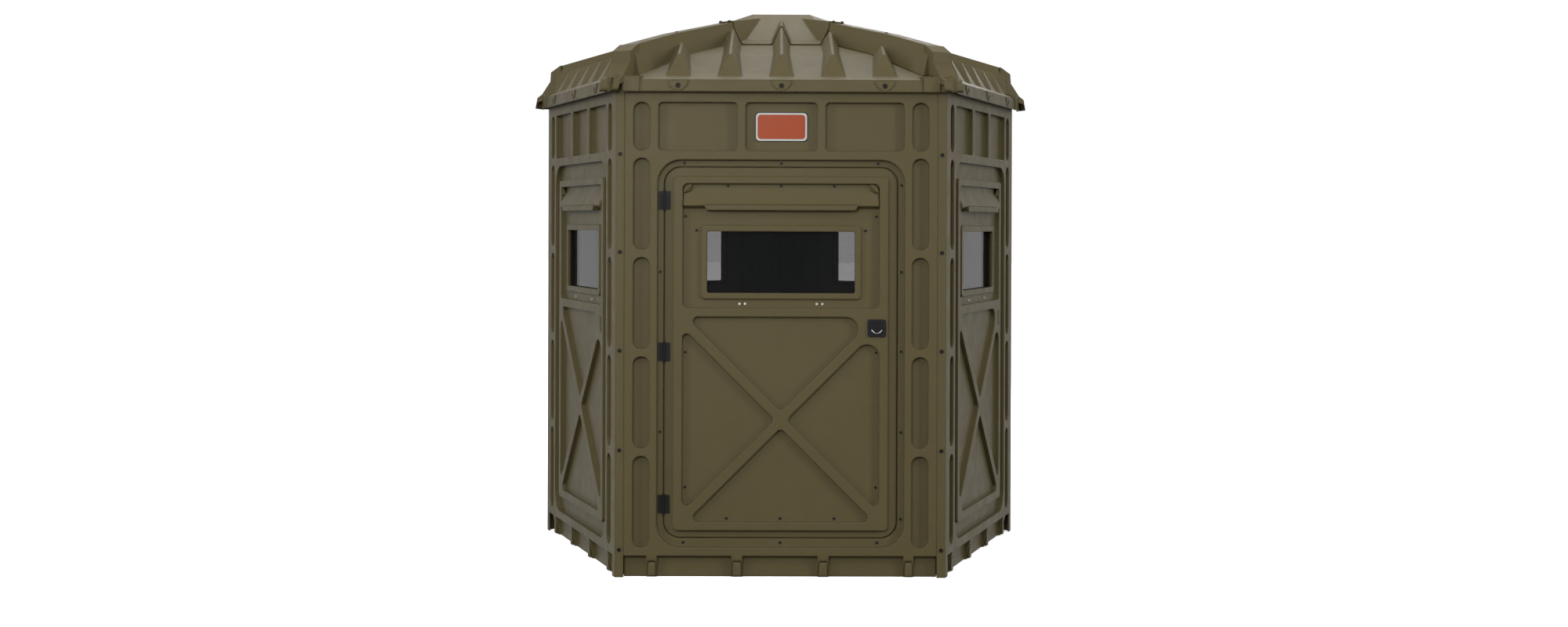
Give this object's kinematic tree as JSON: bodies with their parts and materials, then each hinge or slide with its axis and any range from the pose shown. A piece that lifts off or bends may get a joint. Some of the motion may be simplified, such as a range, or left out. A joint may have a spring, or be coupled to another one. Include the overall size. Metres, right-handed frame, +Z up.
{
  "type": "hunting ground blind",
  "caption": "Five-sided hard-shell ground blind with moulded walls, a domed ribbed roof with a cap, a lockable hinged door and inward-folding tinted windows.",
  "frame": {"origin": "middle of the pentagon base, on the ground", "axes": "+Z up; the door faces -Y and +X is to the right as the door is looked at"},
  "size_m": [2.1322, 2.0306, 2.2],
  "materials": {
    "olive_plastic": "fine moulded grain, satin",
    "dark_olive_plastic": "fine moulded grain, satin",
    "black_metal": "black coating",
    "black_plastic": "satin",
    "zinc_steel": "zinc plated",
    "bright_chrome": "polished",
    "seal_rubber": "matte",
    "tinted_glass": "smooth, grey tint",
    "orange_plate": "smooth"
  },
  "bodies": {
    "shell": {"wall_front": "olive_plastic", "wall_left": "olive_plastic", "wall_right": "olive_plastic", "wall_back_left": "olive_plastic", "wall_back_right": "olive_plastic", "roof_front": "olive_plastic", "roof_left": "olive_plastic", "roof_right": "olive_plastic", "roof_back_left": "olive_plastic", "roof_back_right": "olive_plastic", "roof_cap": "olive_plastic", "floor_left": "dark_olive_plastic", "floor_right": "dark_olive_plastic", "corner_bolts": "black_metal", "eave_screws": "black_metal", "roof_screws": "black_metal", "floor_bolts": "zinc_steel", "door_jamb": "dark_olive_plastic", "door_seal": "seal_rubber", "door_frame_screws": "black_metal", "hinge_frame_leaves": "black_metal", "hinge_pins": "black_metal", "badge": "orange_plate", "window_gaskets": "seal_rubber", "window_hinge_brackets": "zinc_steel", "window_hinge_pins": "zinc_steel", "window_fasteners": "zinc_steel"},
    "door": {"door_shell": "olive_plastic", "door_liner": "dark_olive_plastic", "door_screws": "black_metal", "hinge_door_leaves": "black_metal", "lock_plate": "black_plastic", "door_window_gasket": "seal_rubber", "door_window_hinge_brackets": "zinc_steel", "door_window_hinge_pins": "zinc_steel", "door_window_fasteners": "zinc_steel"},
    "lock": {"lock_knob": "bright_chrome", "lock_cam": "zinc_steel", "lock_inner_knob": "black_plastic"},
    "window_door": {"sash_door": "black_plastic", "pane_door": "tinted_glass", "sash_hinges_door": "zinc_steel"},
    "latch_door": {"latch_door": "black_plastic"},
    "window_left": {"sash_left": "black_plastic", "pane_left": "tinted_glass", "sash_hinges_left": "zinc_steel"},
    "latch_left": {"latch_left": "black_plastic"},
    "window_back_left": {"sash_back_left": "black_plastic", "pane_back_left": "tinted_glass", "sash_hinges_back_left": "zinc_steel"},
    "latch_back_left": {"latch_back_left": "black_plastic"},
    "window_back_right": {"sash_back_right": "black_plastic", "pane_back_right": "tinted_glass", "sash_hinges_back_right": "zinc_steel"},
    "latch_back_right": {"latch_back_right": "black_plastic"},
    "window_right": {"sash_right": "black_plastic", "pane_right": "tinted_glass", "sash_hinges_right": "zinc_steel"},
    "latch_right": {"latch_right": "black_plastic"}
  },
  "joints": [
    {"name": "door_swing", "type": "hinge", "parent": "shell", "child": "door", "pos_m": [-0.441, -0.84424, 0.851], "axis": [0, 0, -1], "range_deg": [0, 110]},
    {"name": "lock_turn", "type": "hinge", "parent": "door", "child": "lock", "pos_m": [0.363, -0.86024, 0.944], "axis": [0, 1, 0], "range_deg": [0, 90]},
    {"name": "window_door_swing", "type": "hinge", "parent": "door", "child": "window_door", "pos_m": [0, -0.81624, 1.049], "axis": [-1, 0, 0], "range_deg": [0, 175]},
    {"name": "latch_door_turn", "type": "hinge", "parent": "door", "child": "latch_door", "pos_m": [0, -0.81724, 1.352], "axis": [0, 1, 0], "range_deg": [0, 90]},
    {"name": "window_left_swing", "type": "hinge", "parent": "shell", "child": "window_left", "pos_m": [-0.77629, -0.25223, 1.049], "axis": [-0.309, 0.9511, 0], "range_deg": [0, 175]},
    {"name": "latch_left_turn", "type": "hinge", "parent": "shell", "child": "latch_left", "pos_m": [-0.77724, -0.25254, 1.352], "axis": [0.9511, 0.309, 0], "range_deg": [0, 90]},
    {"name": "window_back_left_swing", "type": "hinge", "parent": "shell", "child": "window_back_left", "pos_m": [-0.47977, 0.66035, 1.049], "axis": [0.809, 0.5878, 0], "range_deg": [0, 175]},
    {"name": "latch_back_left_turn", "type": "hinge", "parent": "shell", "child": "latch_back_left", "pos_m": [-0.48036, 0.66116, 1.352], "axis": [0.5878, -0.809, 0], "range_deg": [0, 90]},
    {"name": "window_back_right_swing", "type": "hinge", "parent": "shell", "child": "window_back_right", "pos_m": [0.47977, 0.66035, 1.049], "axis": [0.809, -0.5878, 0], "range_deg": [0, 175]},
    {"name": "latch_back_right_turn", "type": "hinge", "parent": "shell", "child": "latch_back_right", "pos_m": [0.48036, 0.66116, 1.352], "axis": [-0.5878, -0.809, 0], "range_deg": [0, 90]},
    {"name": "window_right_swing", "type": "hinge", "parent": "shell", "child": "window_right", "pos_m": [0.77629, -0.25223, 1.049], "axis": [-0.309, -0.9511, 0], "range_deg": [0, 175]},
    {"name": "latch_right_turn", "type": "hinge", "parent": "shell", "child": "latch_right", "pos_m": [0.77724, -0.25254, 1.352], "axis": [-0.9511, 0.309, 0], "range_deg": [0, 90]}
  ]
}
